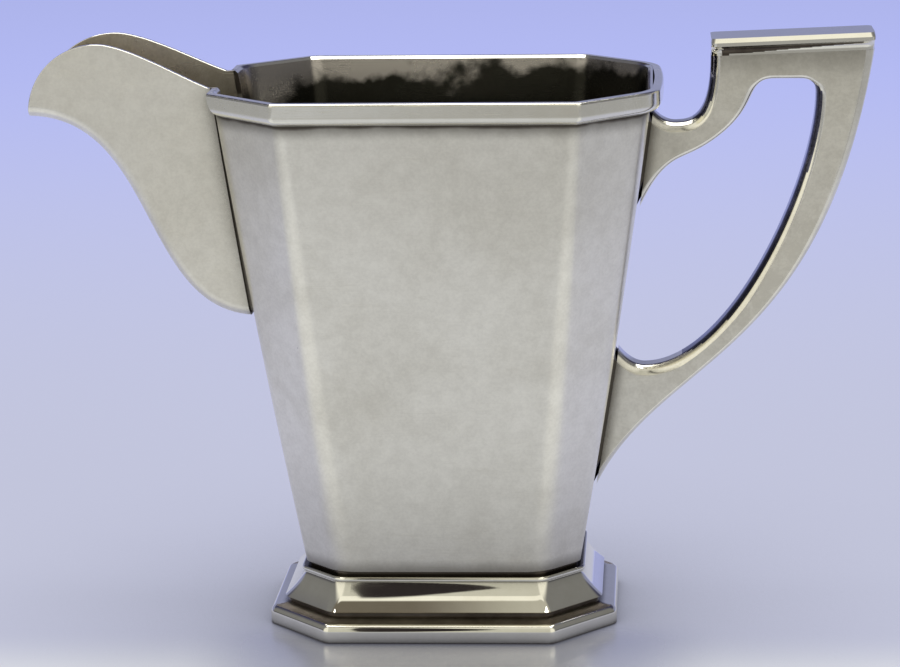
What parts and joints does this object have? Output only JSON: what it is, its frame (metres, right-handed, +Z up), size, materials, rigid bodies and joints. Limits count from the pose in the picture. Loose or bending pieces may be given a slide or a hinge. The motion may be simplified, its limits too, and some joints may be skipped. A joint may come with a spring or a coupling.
{
  "type": "creamer",
  "caption": "Small panelled silver cream jug with a tapering body, open channel spout, hollow loop handle with a flat thumb rest, and a moulded spreading foot.",
  "frame": {"origin": "on the table plane, on the centre plane of the spout and handle, midway between the spout's tip and the handle's back", "axes": "+X from the spout towards the handle, +Y from the front panel to the back panel, +Z up"},
  "size_m": [0.1404, 0.0584, 0.0998],
  "materials": {
    "satin_silver": "hand-polished silver sheet with a satin of fine wear scratches",
    "bright_silver": "bright polished silver mouldings"
  },
  "bodies": {
    "root": {"body_wall": "satin_silver", "body_floor": "satin_silver", "rim_band": "bright_silver", "spout_half_front": "satin_silver", "spout_half_back": "satin_silver", "handle_half_front": "satin_silver", "handle_half_back": "satin_silver", "thumb_rest": "bright_silver", "foot_pedestal": "bright_silver", "foot_base_band": "bright_silver"}
  },
  "joints": []
}
